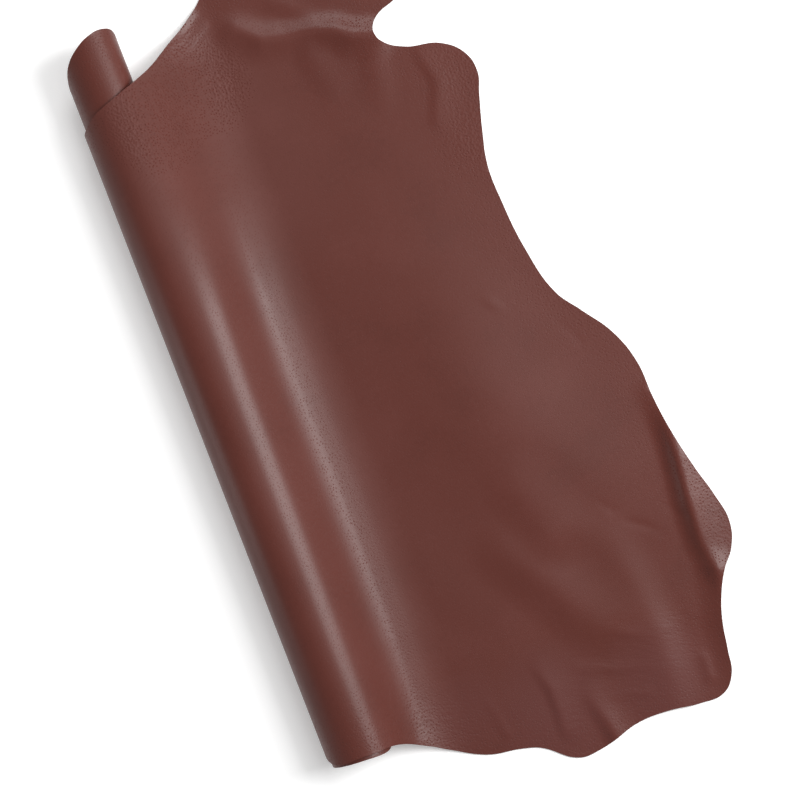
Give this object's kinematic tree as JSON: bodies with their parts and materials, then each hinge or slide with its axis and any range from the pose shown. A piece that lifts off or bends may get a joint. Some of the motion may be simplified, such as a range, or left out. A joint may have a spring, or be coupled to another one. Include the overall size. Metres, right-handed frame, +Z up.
{
  "type": "pigskin leather bend",
  "caption": "Pigskin bend lying grain side up, one side rolled under itself, the rest let down in a soft slope and spread flat with a wavy cut edge.",
  "frame": {"origin": "centre of the hide's box, on the surface that it lies on", "axes": "+Z up from the surface, +Y along the roll towards the neck, +X across from the roll to the belly edge"},
  "size_m": [0.5053, 0.9994, 0.0648],
  "materials": {
    "pigskin": "glazed dark reddish brown pigskin, fine pores in threes, soft gloss"
  },
  "bodies": {
    "root": {"hide": "pigskin"}
  },
  "joints": []
}
